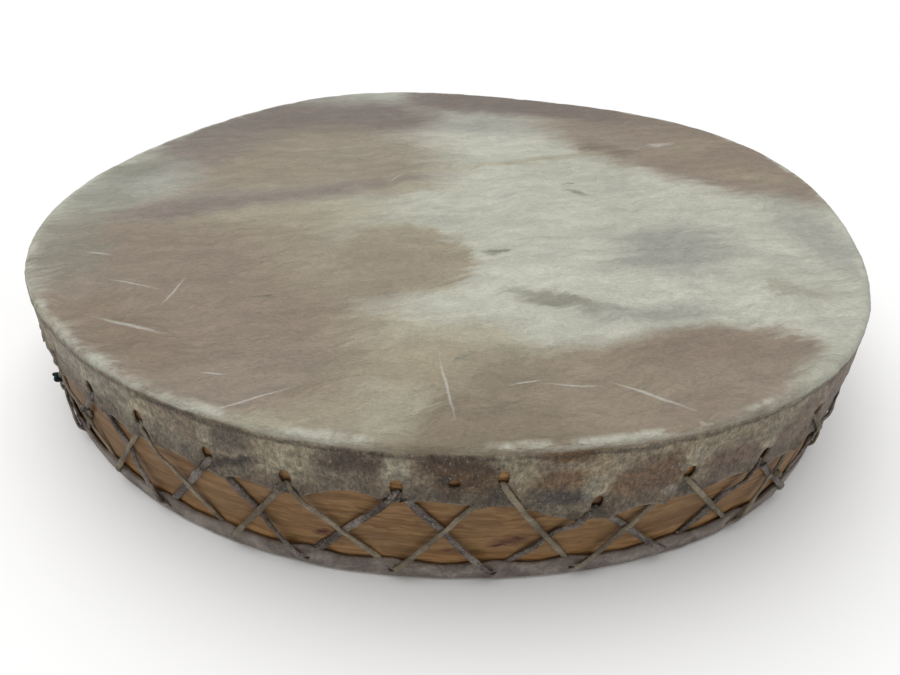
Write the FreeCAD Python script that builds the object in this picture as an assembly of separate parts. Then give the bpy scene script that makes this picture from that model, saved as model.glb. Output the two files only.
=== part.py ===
import FreeCAD, Part

import math
import os

# A laced drum with two rawhide heads on a bent-wood hoop, lying on its back head.
# Origin: the middle of the back head's underside. +Z goes up through the batter head.
# Angles run anticlockwise from +X, seen from above. All sizes are millimetres.

HEAD_R = 228.6            # mean radius of the batter head's rim, an 18 inch drum
DRUM_H = 79.0             # from the back head's underside to the batter head's face
HIDE_T = 1.3              # thickness of both heads
HOOP_T = 8.0              # thickness of the wood
HOOP_ROUND = 3.6          # rounding of the hoop's outer edges
ROUND_STEPS = 4           # sections through each rounding
SEAM_ANGLE = 92.0         # where the hoop's two ends overlap
SEAM_LENGTH = 30.0        # length of the slanted seam along the hoop
SEAM_GAP = 0.15           # glue line in the seam

# The hoop isn't round: HEAD_R is changed by these (cosine, sine) shares of each order.
OUTLINE = {
    2: (0.0255, -0.0016),
    3: (0.0095, -0.0063),
    4: (-0.0033, 0.0180),
    5: (-0.0107, 0.0030),
}
# Slow swells on top of that: angle, half width in degrees, height in millimetres.
SWELLS = [(42.0, 42.0, 13.5), (145.0, 35.0, -2.5), (203.0, 22.0, 3.3)]
OUTLINE_POINTS = 72

SKIRT_GAP = 2.7           # room between hoop and skirt that the laces pass through
SHOULDER_H = 14.0         # height over which the batter skirt leaves the hoop
BATTER_ROUND = 4.5        # rounding of the batter head's rim
BACK_ROUND = 3.0          # rounding of the back head's rim
BACK_SKIRT_TOP = 12.2     # mean height of the back skirt's edge
TRIM_OVERLAP = 0.2        # degrees by which neighbouring trimming plugs overlap
BACK_SKIRT_WAVE = 1.3     # how far the back skirt is drawn up at each hole

# Lacing holes. Both heads have the same number, and the batter ones lie over the back ones.
# Hand-cut holes wander: the lists go round the drum twice.
HOLES = 38
PITCH = 360.0 / HOLES
FIRST_HOLE = 216.0
HOLE_WANDER = [
    0.2, 0.5, -0.6, -0.9, -1.6, 0.2, 1.1, 1.6, 1.9, 2.8, 2.3, 1.8, 1.2, 0.6, -0.3, 0.4, -0.5, 0.2, -0.4,
]
HOLE_Z = [
    55.3, 59.2, 60.1, 56.2, 55.5, 58.5, 64.5, 47.5, 55.1, 49.5,
    56.9, 51.2, 54.0, 57.0, 51.0, 55.0, 59.0, 53.0, 56.0,
]
EDGE_Z = [
    44.0, 46.0, 45.0, 43.5, 44.0, 49.0, 47.0, 38.0, 39.5, 40.0,
    38.0, 39.0, 42.0, 44.0, 41.0, 43.0, 45.0, 42.0, 43.0,
]
ARCH = [
    4.0, 3.0, 4.2, 4.0, 5.8, 1.5, 0.5, 2.0, 3.0, 1.0, 3.0, 2.5, 4.0, 3.0, 5.0, 3.5, 2.0, 4.5, 3.0,
]
BACK_HOLE_DRIFT = [
    0.4, -0.3, 0.5, 0.7, 1.0, -0.6, 0.2, -0.8, 0.4, -0.5, 0.3, 0.6, -0.4, 0.5, -0.6, 0.2, 0.7, -0.3, 0.1,
]
BACK_HOLE_Z = 5.8
HOLE_HALF_W = 2.1         # half width of a batter hole
HOLE_HALF_H = 4.2         # half height of a batter hole
BACK_HOLE_HALF_W = 1.7    # half width of a back hole
BACK_HOLE_HALF_H = 2.4    # half height of a back hole
FLAW = (269.2, 62.6, 2.6, 1.7)   # an old hole in the batter skirt: angle, height, half width, half height

# The laces. Each hole holds one lace, which comes up behind the skirt and leaves over it.
DARK_LACE_R = 1.2
LIGHT_LACE_R = 1.0
BEHIND_CLEAR = 0.15       # lace to wood, behind a skirt
OVER_CLEAR = 0.3          # lace to hide, over a skirt
WOOD_CLEAR = 0.4          # dark lace to wood where the laces cross
CROSS_CLEAR = 1.0         # room between the laces' corner points there, which rounding takes up
LACE_DROP = 2.7           # a lace lies this far below the middle of its batter hole
LACE_LIFT = 0.4           # and this far above the middle of its back hole
EDGE_CLEAR = 1.8          # a lace turns this far past the edge of a skirt

CROSS_DARK = -HIDE_T + WOOD_CLEAR + DARK_LACE_R
CROSS_LIGHT = CROSS_DARK + DARK_LACE_R + LIGHT_LACE_R + CROSS_CLEAR
LACE_END = 1.2            # how far a lace's end stops from the middle of its knot
LIGHT_FIRST = 10          # the batter hole at which each lace's first stitch starts
DARK_FIRST = 1

# Knots: sizes along the wall, up it and out of it, and how far each stands out from its lace.
LIGHT_KNOT = (6.4, 5.6, 4.2)
LIGHT_KNOT_OUT = 0.6
DARK_KNOT = (6.8, 6.0, 4.2)
DARK_KNOT_OUT = 0.9
CORD_TIE = (5.6, 6.6, 6.0)
TIE_OUT = 1.2
TIE_RUN = (38, 37)        # the scrap of cord is tied where this run crosses its mirror run


def lerp(a, b, share):
    return a + (b - a) * share


def angle_between(start, end):
    """Degrees from start to end, from -180 to 180."""
    return (end - start + 180) % 360 - 180


def radius(angle):
    """Radius of the batter head's rim at an angle in degrees."""
    t = math.radians(angle)
    waves = [c * math.cos(k * t) + s * math.sin(k * t) for k, (c, s) in OUTLINE.items()]
    swells = [h * math.exp(-(angle_between(peak, angle) / width) ** 2) for peak, width, h in SWELLS]
    return HEAD_R * (1 + sum(waves)) + sum(swells)


def at(angle, z, offset):
    """The point at an angle and a height that lies offset outside the rim."""
    t = math.radians(angle)
    r = radius(angle) + offset
    return FreeCAD.Vector(r * math.cos(t), r * math.sin(t), z)


def outside_of(point, distance):
    return point + FreeCAD.Vector(point.x, point.y, 0).normalize() * distance


def smooth_loop(points):
    curve = Part.BSplineCurve()
    curve.interpolate(points, PeriodicFlag=True)
    return Part.Wire([curve.toShape()])


def outline_loop(offset, z):
    step = 360.0 / OUTLINE_POINTS
    return smooth_loop([at(i * step, z, offset) for i in range(OUTLINE_POINTS)])


def drum_body(levels):
    """A solid through the outline at each (offset, height)."""
    return Part.makeLoft([outline_loop(offset, z) for offset, z in levels], True, True)


def round_rim(body, z, size):
    """Rounds the body's closed edge at height z."""
    rims = [e for e in body.Edges if abs(e.BoundBox.ZMin - z) < 0.01 and abs(e.BoundBox.ZMax - z) < 0.01]
    return body.makeFillet(size, rims[:1])


def hole_angle(i):
    return FIRST_HOLE + i * PITCH + HOLE_WANDER[i % len(HOLE_WANDER)]


def back_hole_angle(i):
    return hole_angle(i) + BACK_HOLE_DRIFT[i % len(BACK_HOLE_DRIFT)]


def hole_z(i):
    return HOLE_Z[i % len(HOLE_Z)]


def batter_edge_z(angle):
    """Height of the batter skirt's scalloped edge: low at each hole and arched between."""
    for i in range(HOLES):
        start = hole_angle(i)
        span = (hole_angle(i + 1) - start) % 360
        share = ((angle - start) % 360) / span
        if share < 1:
            low = lerp(EDGE_Z[i % len(EDGE_Z)], EDGE_Z[(i + 1) % len(EDGE_Z)], share)
            return low + ARCH[i % len(ARCH)] * math.sin(math.pi * share) ** 2


def back_edge_z(angle):
    """Height of the back skirt's edge, which the lacing draws up at each hole."""
    return BACK_SKIRT_TOP + BACK_SKIRT_WAVE * math.cos(math.radians(HOLES * (angle - FIRST_HOLE)))


def outward(angle):
    return FreeCAD.Vector(math.cos(math.radians(angle)), math.sin(math.radians(angle)), 0)


def trim_tool(angle, half_span, edge_z, far_z):
    """A plug that cuts a skirt away from its wavy edge as far as far_z, over half_span each way."""
    angles = [lerp(angle - half_span, angle + half_span, k / 6) for k in range(7)]
    out = outward(angle)
    base = radius(angle) - 4
    edge_points = []
    for a in angles:
        point = at(a, edge_z(a), 0)
        edge_points.append(point + out * (base - point.dot(out)))
    curve = Part.BSplineCurve()
    curve.interpolate(edge_points)
    first, last = edge_points[0], edge_points[-1]
    first_far = FreeCAD.Vector(first.x, first.y, far_z)
    last_far = FreeCAD.Vector(last.x, last.y, far_z)
    corners = [last, last_far, first_far, first]
    sides = [Part.makeLine(a, b) for a, b in zip(corners, corners[1:])]
    return Part.Face(Part.Wire([curve.toShape()] + sides)).extrude(out * 12)


def trimmed(head, edge_z, far_z):
    """The head with its skirt cut to its wavy edge. Overlapping plugs go in separate cuts."""
    tools = [trim_tool(FIRST_HOLE + i * PITCH, PITCH / 2 + TRIM_OVERLAP, edge_z, far_z) for i in range(HOLES)]
    return head.cut(tools[0::2]).cut(tools[1::2])


def slot_tool(angle, z, half_w, half_h):
    """An oval plug that cuts a hole through a skirt, square to it."""
    centre = at(angle, z, -0.4)
    out = outward(angle)
    up = FreeCAD.Vector(0, 0, 1)
    side = out.cross(up)
    if half_h > half_w:
        oval = Part.Ellipse(centre + up * half_h, centre + side * half_w, centre)
    else:
        oval = Part.Ellipse(centre + side * half_w, centre + up * half_h, centre)
    return Part.Face(Part.Wire([oval.toShape()])).extrude(out * 6)


def make_hoop():
    """One steamed strip with rounded outer edges, whose two ends meet in a slanted seam."""
    foot = []
    for k in range(ROUND_STEPS + 1):
        turn = math.pi / 2 * k / ROUND_STEPS
        inset = HOOP_ROUND * (1 - math.sin(turn))
        foot.append((-HIDE_T - inset, HIDE_T + HOOP_ROUND * (1 - math.cos(turn))))
    outside = drum_body(foot + [(offset, DRUM_H - z) for offset, z in reversed(foot)])
    inside = drum_body([(-HIDE_T - HOOP_T, 0), (-HIDE_T - HOOP_T, DRUM_H)])
    slab = Part.makeBox(SEAM_LENGTH * 1.5, SEAM_GAP, DRUM_H, FreeCAD.Vector(-SEAM_LENGTH * 0.75, 0, 0))
    slant = math.degrees(math.atan2(HOOP_T, SEAM_LENGTH))
    slab.rotate(FreeCAD.Vector(0, 0, 0), FreeCAD.Vector(0, 0, 1), SEAM_ANGLE - 90 + slant)
    slab.translate(at(SEAM_ANGLE, 0, -HIDE_T - HOOP_T / 2))
    return outside.cut(inside).cut(slab)


def make_batter_head():
    low = 34.0
    shoulder = DRUM_H - SHOULDER_H
    outside = drum_body([(SKIRT_GAP, low), (SKIRT_GAP, shoulder), (0, DRUM_H)])
    outside = round_rim(outside, DRUM_H, BATTER_ROUND)
    under = DRUM_H - HIDE_T
    inner = SKIRT_GAP - HIDE_T
    inside = drum_body([(inner, low - 1), (inner, shoulder), (-HIDE_T, under)])
    inside = round_rim(inside, under, BATTER_ROUND - HIDE_T)
    holes = [slot_tool(hole_angle(i), hole_z(i), HOLE_HALF_W, HOLE_HALF_H) for i in range(HOLES)]
    holes.append(slot_tool(*FLAW))
    return trimmed(outside.cut(inside), batter_edge_z, low - 5).cut(holes)


def make_back_head():
    high = 17.0
    inner = SKIRT_GAP - HIDE_T
    outside = round_rim(drum_body([(SKIRT_GAP, 0), (SKIRT_GAP, high)]), 0, BACK_ROUND)
    inside = round_rim(drum_body([(inner, HIDE_T), (inner, high + 1)]), HIDE_T, BACK_ROUND - HIDE_T)
    sizes = (BACK_HOLE_HALF_W, BACK_HOLE_HALF_H)
    holes = [slot_tool(back_hole_angle(i), BACK_HOLE_Z, *sizes) for i in range(HOLES)]
    return trimmed(outside.cut(inside), back_edge_z, high + 5).cut(holes)


def run_ends(top, back):
    """Angle and height of the two ends of the run between batter hole top and back hole back."""
    return (hole_angle(top), hole_z(top) - LACE_DROP), (back_hole_angle(back), BACK_HOLE_Z + LACE_LIFT)


def along_run(top, back, z):
    """Angle at which that run passes height z."""
    (a_top, z_top), (a_back, z_back) = run_ends(top, back)
    return lerp(a_top, a_back, (z_top - z) / (z_top - z_back))


def crossing_z(top, back):
    """Height at which the run crosses its mirror run, from batter hole back to back hole top."""
    (a_top, z_top), (a_back, z_back) = run_ends(top, back)
    (b_top, zb_top), (b_back, zb_back) = run_ends(back, top)
    slope = (a_back - a_top) / (z_back - z_top)
    mirror_slope = (b_back - b_top) / (zb_back - zb_top)
    return (b_top - a_top + slope * z_top - mirror_slope * zb_top) / (slope - mirror_slope)


def run_points(lace_r, top, back, downward, on_top):
    """Route of one run, from hole to hole: over the skirt it leaves, behind the skirt it reaches."""
    behind = -HIDE_T + lace_r + BEHIND_CLEAR
    over = SKIRT_GAP + lace_r + OVER_CLEAR
    top_out, back_out = (over, behind) if downward else (behind, over)
    (a_top, z_top), (a_back, z_back) = run_ends(top, back)
    top_edge = z_top
    while top_edge > batter_edge_z(along_run(top, back, top_edge)):
        top_edge -= 0.25
    back_edge = z_back
    while back_edge < back_edge_z(along_run(top, back, back_edge)):
        back_edge += 0.25
    # a run turns just outside the skirt that it lies over, and just inside the one it goes behind
    shift = -EDGE_CLEAR if downward else EDGE_CLEAR
    places = [
        (top_edge + shift, top_out),
        (crossing_z(top, back), CROSS_LIGHT if on_top else CROSS_DARK),
        (back_edge + shift, back_out),
    ]
    route = [at(a_top, z_top, top_out)]
    route += [at(along_run(top, back, z), z, offset) for z, offset in places]
    route.append(at(a_back, z_back, back_out))
    return route if downward else route[::-1]


def lace_route(lace_r, first, direction, on_top, knot_place):
    """Every point of one lace, which uses every second batter hole and goes once round the drum.

    Its two ends stop just inside its knot, which sits at the point numbered knot_place.
    """
    ring = []
    for stitch in range(HOLES // 2):
        top = first + direction * 2 * stitch
        back = top + direction
        ring += run_points(lace_r, top, back, True, on_top)
        ring += run_points(lace_r, top + 2 * direction, back, False, on_top)
    knot = ring[knot_place]
    points = ring[knot_place:] + ring[:knot_place] + [knot]
    points[0] = knot + (points[1] - knot).normalize() * LACE_END
    points[-1] = knot + (points[-2] - knot).normalize() * LACE_END
    return points, knot


def rounded_path(points):
    """Straight runs through the points, joined by tangent arcs as large as the runs allow."""
    edges = []
    here = points[0]
    for before, corner, after in zip(points, points[1:], points[2:]):
        back = before - corner
        ahead = after - corner
        turn = math.pi - back.getAngle(ahead)
        reach = 0.45 * min(back.Length, ahead.Length)
        start = corner + FreeCAD.Vector(back).normalize() * reach
        end = corner + FreeCAD.Vector(ahead).normalize() * reach
        bend_r = reach / math.tan(turn / 2)
        middle_dir = (start + end) * 0.5 - corner
        sag = bend_r / math.cos(turn / 2) - bend_r
        middle = corner + middle_dir.normalize() * sag
        edges.append(Part.LineSegment(here, start).toShape())
        edges.append(Part.Arc(start, middle, end).toShape())
        here = end
    edges.append(Part.LineSegment(here, points[-1]).toShape())
    return Part.Wire(edges)


def make_lace(points, lace_r):
    path = rounded_path(points)
    start = path.Edges[0]
    section = Part.Wire([Part.makeCircle(lace_r, points[0], start.tangentAt(start.FirstParameter))])
    tube = path.makePipeShell([section], True, False)
    share = tube.Volume / (math.pi * lace_r ** 2 * path.Length)
    print("lace", round(path.Length), "mm long, its volume is", round(share, 4), "of section times length")
    return tube


def lump(centre, sizes, laces):
    """A knot: a rounded block, sized along the wall, up and outward, with the laces let through."""
    along, up, outward_size = sizes
    block = Part.makeBox(along, outward_size, up, FreeCAD.Vector(-along / 2, -outward_size / 2, -up / 2))
    block = block.makeFillet(min(sizes) * 0.42, block.Edges)
    facing = math.degrees(math.atan2(centre.y, centre.x)) - 90
    block.rotate(FreeCAD.Vector(0, 0, 0), FreeCAD.Vector(0, 0, 1), facing)
    block.translate(centre)
    return block.cut(laces)


def main():
    light_points, light_end = lace_route(LIGHT_LACE_R, LIGHT_FIRST, 1, True, -3)
    dark_points, dark_end = lace_route(DARK_LACE_R, DARK_FIRST, -1, False, 1)
    light_lace = make_lace(light_points, LIGHT_LACE_R)
    dark_lace = make_lace(dark_points, DARK_LACE_R)
    laces = [light_lace, dark_lace]
    tie_z = crossing_z(*TIE_RUN)
    tie_centre = at(along_run(*TIE_RUN, tie_z), tie_z, (CROSS_DARK + CROSS_LIGHT) / 2 + TIE_OUT)
    nodes = {
        "hoop": make_hoop(),
        "batter_head": make_batter_head(),
        "back_head": make_back_head(),
        "light_lace": light_lace,
        "dark_lace": dark_lace,
        "light_lace_knot": lump(outside_of(light_end, LIGHT_KNOT_OUT), LIGHT_KNOT, laces),
        "dark_lace_knot": lump(outside_of(dark_end, DARK_KNOT_OUT), DARK_KNOT, laces),
        "cord_tie": lump(tie_centre, CORD_TIE, laces),
    }
    os.makedirs("parts", exist_ok=True)
    for name, shape in nodes.items():
        print(name, shape.isValid(), len(shape.Solids), round(shape.Volume / 1000, 2), "cm3")
        shape.exportStep("parts/" + name + ".step")


main()
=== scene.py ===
"""A laced drum: two rawhide heads drawn over a bent-wood hoop by two laces that zigzag round its wall.

Lengths are millimetres until a mesh is made, in the CAD frame: the drum lies on its back head at z = 0,
+Z goes up through the batter head, and angles run anticlockwise from +X, in degrees.
"""

import math

import bpy
import numpy as np
from mathutils import Matrix, Vector, noise


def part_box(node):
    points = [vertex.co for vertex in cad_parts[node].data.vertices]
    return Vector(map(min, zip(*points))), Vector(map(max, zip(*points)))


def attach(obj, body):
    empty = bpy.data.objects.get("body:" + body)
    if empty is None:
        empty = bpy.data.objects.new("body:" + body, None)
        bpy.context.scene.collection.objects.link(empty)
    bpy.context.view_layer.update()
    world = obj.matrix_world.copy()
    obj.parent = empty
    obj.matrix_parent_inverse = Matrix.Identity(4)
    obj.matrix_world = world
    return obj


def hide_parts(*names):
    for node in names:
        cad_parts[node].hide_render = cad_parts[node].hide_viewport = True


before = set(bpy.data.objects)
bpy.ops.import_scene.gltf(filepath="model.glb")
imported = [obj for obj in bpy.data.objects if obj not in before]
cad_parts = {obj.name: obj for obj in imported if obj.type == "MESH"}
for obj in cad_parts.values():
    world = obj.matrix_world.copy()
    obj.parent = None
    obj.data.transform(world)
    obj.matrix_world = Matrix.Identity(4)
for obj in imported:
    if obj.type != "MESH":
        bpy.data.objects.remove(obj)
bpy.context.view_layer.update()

MM = 0.001
DRUM_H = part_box("batter_head")[1].z / MM
HEAD_R = 228.6
OUTLINE = {
    2: (0.0255, -0.0016),
    3: (0.0095, -0.0063),
    4: (-0.0033, 0.0180),
    5: (-0.0107, 0.0030),
}
SWELLS = [(42.0, 42.0, 13.5), (145.0, 35.0, -2.5), (203.0, 22.0, 3.3)]
HIDE_T = 1.2
WOOD = -1.3               # the hoop's outer face, measured out from the batter head's rim

# ---------------------------------------------------------------- lacing holes, where the CAD has them

HOLES = 38
PITCH = 360.0 / HOLES
FIRST_HOLE = 216.0
HOLE_WANDER = [
    0.2, 0.5, -0.6, -0.9, -1.6, 0.2, 1.1, 1.6, 1.9, 2.8, 2.3, 1.8, 1.2, 0.6, -0.3, 0.4, -0.5, 0.2, -0.4,
]
HOLE_Z = [
    55.3, 59.2, 60.1, 56.2, 55.5, 58.5, 64.5, 47.5, 55.1, 49.5,
    56.9, 51.2, 54.0, 57.0, 51.0, 55.0, 59.0, 53.0, 56.0,
]
# The skirt's edge under each hole, and how far it arches up before the next. The real skin is drawn up a
# little further than the CAD's.
EDGE_Z = [
    47.0, 49.0, 48.0, 46.0, 46.0, 51.5, 49.0, 37.0, 41.0, 42.0,
    38.0, 39.0, 42.0, 44.0, 41.0, 43.0, 45.0, 42.0, 43.0,
]
ARCH = [
    4.0, 2.5, 3.2, 3.0, 5.6, 1.5, 0.5, 2.2, 2.6, 1.0, 3.0, 2.5, 4.0, 3.0, 5.0, 3.5, 2.0, 4.5, 3.0,
]
BACK_HOLE_DRIFT = [
    0.4, -0.3, 0.5, 0.7, 1.0, -0.6, 0.2, -0.8, 0.4, -0.5, 0.3, 0.6, -0.4, 0.5, -0.6, 0.2, 0.7, -0.3, 0.1,
]
BACK_HOLE_Z = 5.8
BACK_EDGE_Z = 12.2
BACK_EDGE_WAVE = 1.3


def cyclic(values, i):
    return values[i % len(values)]


def hole_angle(i):
    return FIRST_HOLE + i * PITCH + cyclic(HOLE_WANDER, i)


def back_hole_angle(i):
    return hole_angle(i) + cyclic(BACK_HOLE_DRIFT, i)


def turn_between(start, end):
    """Degrees from start to end, from -180 to 180."""
    return (np.asarray(end) - start + 180) % 360 - 180


def hill(value, width):
    """1 at 0, falling smoothly to almost nothing at twice the width."""
    return np.exp(-((value / width) ** 2))


def radius(angle):
    """Radius of the batter head's rim."""
    t = np.radians(angle)
    waves = sum(c * np.cos(k * t) + s * np.sin(k * t) for k, (c, s) in OUTLINE.items())
    swells = sum(height * hill(turn_between(peak, angle), width) for peak, width, height in SWELLS)
    return HEAD_R * (1 + waves) + swells


def at(angle, z, offset):
    """Points on the wall: angle, height and distance out from the rim, as one array of x, y, z."""
    t = np.radians(angle)
    r = radius(angle) + offset
    return np.stack(np.broadcast_arrays(r * np.cos(t), r * np.sin(t), z), axis=-1)


def angle_of(points):
    return np.degrees(np.arctan2(points[:, 1], points[:, 0]))


def rim_share(points):
    """How far out the points are: 0 in the middle, 1 at the rim."""
    return np.hypot(points[:, 0], points[:, 1]) / radius(angle_of(points))


def smooth(low, high, value):
    """0 below low, 1 above high, and an S curve between."""
    share = np.clip((np.asarray(value, float) - low) / (high - low), 0, 1)
    return share * share * (3 - 2 * share)


def rough(points, size, seed):
    """Smooth random values from -1 to 1 at the points, with lumps about size across."""
    shift = Vector((seed * 17.3, seed * 5.1, -seed * 9.7))
    flat = np.reshape(points, (-1, 3))
    values = [noise.noise(Vector(p) / size + shift) for p in flat]
    return np.reshape(values, np.shape(points)[:-1])


# ---------------------------------------------------------------- meshes


def new_piece(name, points, faces, material):
    """A smooth-shaded mesh from millimetre points."""
    mesh = bpy.data.meshes.new(name)
    mesh.from_pydata((np.asarray(points) * MM).tolist(), [], faces)
    mesh.shade_smooth()
    mesh.materials.append(material)
    piece = bpy.data.objects.new(name, mesh)
    bpy.context.scene.collection.objects.link(piece)
    return piece


def only_used(points, faces):
    """Drops the points that no face uses."""
    used = sorted({i for face in faces for i in face})
    place = {old: new for new, old in enumerate(used)}
    return points[used], [[place[i] for i in face] for face in faces]


def note(piece, name, values):
    """Stores a number, or three, for every point of the mesh, which its material reads."""
    kind, field = ("FLOAT", "value") if values.ndim == 1 else ("FLOAT_VECTOR", "vector")
    piece.data.attributes.new(name, kind, "POINT").data.foreach_set(field, values.ravel())


COLS_PER_HOLE = 24
COLS = HOLES * COLS_PER_HOLE
DISC_SKIP = 3             # the flat face has one column for every so many of the skirt's
DISC_SHARES = [*np.linspace(0.03, 0.9, 26), 0.925, 0.945, 0.962]    # its rings, in shares of the rim
RIM_STEPS = 5             # rings over the rim's quarter round
BLOCK = 2                 # a hole opens this many columns each way


def column_angles(angle_of_hole):
    """Angles of the skirt's columns, so that every hole is centred on a column."""
    angles = []
    for i in range(HOLES):
        start = angle_of_hole(i)
        end = angle_of_hole(i + 1) if i < HOLES - 1 else angle_of_hole(0) + 360
        angles += [start + (end - start) * k / COLS_PER_HOLE for k in range(COLS_PER_HOLE)]
    return np.array(angles)


def between_holes(values):
    """A height at every column, eased from each hole's value to the next."""
    share = smooth(0, 1, np.arange(COLS_PER_HOLE) / COLS_PER_HOLE)
    pairs = [(cyclic(values, i), cyclic(values, (i + 1) % HOLES)) for i in range(HOLES)]
    return np.concatenate([start + (end - start) * share for start, end in pairs])


class Skirt:
    """The wall part of a head as a grid: column by column round the drum, row by row away from the rim."""

    def __init__(self, angles, rim_z, hole_z, edge_z, rows_above, rows_below):
        above = np.linspace(0, 1, rows_above + 1)[None, :]
        below = np.linspace(0, 1, rows_below + 1)[None, 1:]
        self.hole_row = rows_above
        self.rows = rows_above + rows_below + 1
        top = rim_z + (hole_z[:, None] - rim_z) * above
        low = hole_z[:, None] + (edge_z[:, None] - hole_z[:, None]) * below
        self.z = np.concatenate([top, low], axis=1)
        self.angle = np.repeat(angles[:, None], self.rows, axis=1)
        self.openings = []

    def open_hole(self, column, half_w, half_h, row_block, reach):
        """Draws the grid round an oval and notes the cells that the oval leaves out."""
        per_degree = math.radians(HEAD_R)
        middle_angle = self.angle[column, self.hole_row]
        middle_z = self.z[column, self.hole_row]
        span = int(BLOCK * reach)
        for dc in range(-span, span + 1):
            c = (column + dc) % COLS
            for r in range(self.rows):
                dr = r - self.hole_row
                m = max(abs(dc) / BLOCK, abs(dr) / row_block)
                if 1 <= m < reach:
                    turn = math.atan2(-dr / row_block, dc / BLOCK)
                    along = turn_between(middle_angle, self.angle[c, r]) * per_degree
                    up = self.z[c, r] - middle_z
                    sign = -1 if self.z[c, 0] < self.z[c, -1] else 1
                    oval = (half_w * math.cos(turn) * m, half_h * math.sin(turn) * m * sign)
                    keep = float(smooth(1, reach, m))
                    along += (oval[0] - along) * (1 - keep)
                    up += (oval[1] - up) * (1 - keep)
                    self.angle[c, r] = middle_angle + along / per_degree
                    self.z[c, r] = middle_z + up
        self.openings.append((column, row_block))

    def cell_is_open(self, c, r):
        for column, row_block in self.openings:
            dc = (c - column + COLS // 2) % COLS - COLS // 2
            if -BLOCK <= dc < BLOCK and -row_block <= r - self.hole_row < row_block:
                return True
        return False


def outer_rings(skirt, offset, face_z, up, rim_round, relief):
    """The skin's outside, ring by ring: the flat face from its middle, the rounded rim, then the skirt."""
    rings = []
    for share in DISC_SHARES:
        ring = at(skirt.angle[::DISC_SKIP, 0], 0.0, 0.0) * share
        ring[:, 2] = face_z + relief(ring)
        rings.append(ring)
    for k in range(-2, RIM_STEPS + 1):
        flat = -min(k, 0) / RIM_STEPS * math.pi / 2
        turn = max(k, 0) / RIM_STEPS * math.pi / 2
        inset = rim_round * (1 - math.sin(turn) + 1.6 * flat)
        ring = at(skirt.angle[:, 0], 0.0, offset[:, 0] - inset)
        ring[:, 2] = face_z - up * rim_round * (1 - math.cos(turn)) + relief(ring) * (1 - 0.6 * turn)
        rings.append(ring)
    for row in range(1, skirt.rows):
        rings.append(at(skirt.angle[:, row], skirt.z[:, row], offset[:, row]))
    return rings


def inner_rings(rings, up):
    """The outside copied HIDE_T inwards, along the skin's own normal."""
    inner = []
    for k, ring in enumerate(rings):
        before, after = rings[max(k - 1, 0)], rings[min(k + 1, len(rings) - 1)]
        if len(before) != len(ring):
            before = ring
        if len(after) != len(ring):
            after = ring
        side = np.roll(ring, -1, axis=0) - np.roll(ring, 1, axis=0)
        normal = np.cross(side, after - before) * up
        normal /= np.maximum(np.linalg.norm(normal, axis=1, keepdims=True), 1e-9)
        inner.append(ring + normal * HIDE_T)
    return inner


def layer_faces(rings, starts, centre, skirt):
    """One side of the skin: a fan round the centre point, then a band between each two rings."""
    first_skirt = len(rings) - skirt.rows
    n = len(rings[0])
    faces = [[centre, starts[0] + c, starts[0] + (c + 1) % n] for c in range(n)]
    for k in range(len(rings) - 1):
        n, n_next = len(rings[k]), len(rings[k + 1])
        step = n_next // n
        for c in range(n):
            if k >= first_skirt and skirt.cell_is_open(c, k - first_skirt):
                continue
            fan = [starts[k + 1] + (c * step + j) % n_next for j in range(step + 1)]
            faces.append([starts[k] + c] + fan + [starts[k] + (c + 1) % n])
    return faces


def open_loops(skirt, last_ring):
    """The loops where the outside joins the inside, as ring and column: the skirt's edge and each hole."""
    yield [(last_ring, c) for c in range(COLS)]
    hole_ring = last_ring - skirt.rows + 1 + skirt.hole_row
    for column, block in skirt.openings:
        loop = [(hole_ring - block, column + d) for d in range(-BLOCK, BLOCK)]
        loop += [(hole_ring + d, column + BLOCK) for d in range(-block, block)]
        loop += [(hole_ring + block, column + d) for d in range(BLOCK, -BLOCK, -1)]
        loop += [(hole_ring + d, column - BLOCK) for d in range(block, -block, -1)]
        yield [(ring, c % COLS) for ring, c in loop]


def head_piece(name, skirt, offset, face_z, up, rim_round, relief, material):
    """One closed skin, outside and inside, joined at its edge and holes. up is 1 if its face looks up."""
    outside = outer_rings(skirt, offset, face_z, up, rim_round, relief)
    inside = inner_rings(outside, up)
    middle = np.mean(outside[0], axis=0)
    points = np.concatenate(outside + inside + [[middle, middle - [0, 0, up * HIDE_T]]])
    starts_out = np.cumsum([0] + [len(ring) for ring in outside]).tolist()
    total = starts_out.pop()
    starts_in = [total + start for start in starts_out]
    outer_faces = layer_faces(outside, starts_out, 2 * total, skirt)
    inner_faces = layer_faces(inside, starts_in, 2 * total + 1, skirt)
    faces = outer_faces + [face[::-1] for face in inner_faces]
    for loop in open_loops(skirt, len(outside) - 1):
        for (k, c), (k_next, c_next) in zip(loop, loop[1:] + loop[:1]):
            outer, outer_next = starts_out[k] + c, starts_out[k_next] + c_next
            faces.append([outer, outer + total, outer_next + total, outer_next])
    if up < 0:
        faces = [face[::-1] for face in faces]
    points, faces = only_used(points, faces)
    piece = new_piece(name, points, faces, material)
    # for the material: distance in from the rim, negative down the skirt, and height over the skirt's edge
    inward = np.maximum(1 - rim_share(points), 0) * HEAD_R
    down = np.maximum(up * (face_z - points[:, 2]) - HIDE_T, 0)
    note(piece, "rim", inward * (down < rim_round) - down)
    edge = edge_at(angle_of(points), skirt.angle[:, -1], skirt.z[:, -1])
    note(piece, "hem", up * (points[:, 2] - edge))
    return piece


# ---------------------------------------------------------------- the two heads' shape

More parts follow.
